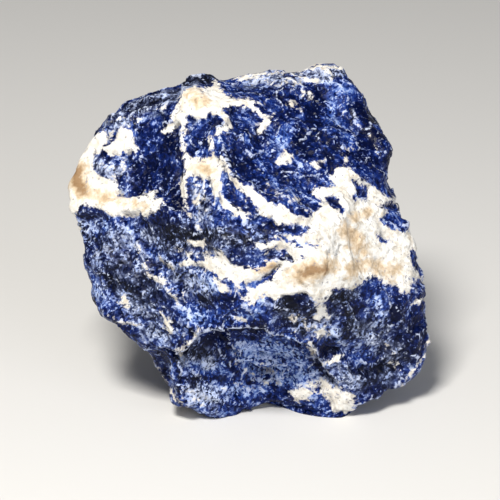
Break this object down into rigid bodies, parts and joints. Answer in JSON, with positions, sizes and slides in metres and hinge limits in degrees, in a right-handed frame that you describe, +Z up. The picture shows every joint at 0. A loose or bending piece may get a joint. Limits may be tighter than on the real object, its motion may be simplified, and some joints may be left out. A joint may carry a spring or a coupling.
{
  "type": "rough sodalite",
  "caption": "Broken lump of rough sodalite: nearly flat break faces, shallow flake scars, and a small flat spot that it rests on.",
  "frame": {"origin": "a point on the flat spot that the stone rests on, under its middle", "axes": "+Z up from the flat spot, +X along the stone's longest side, -Y the way its broad veined face looks"},
  "size_m": [0.059, 0.0419, 0.0518],
  "materials": {
    "sodalite": "satin"
  },
  "bodies": {
    "root": {"stone": "sodalite"}
  },
  "joints": []
}
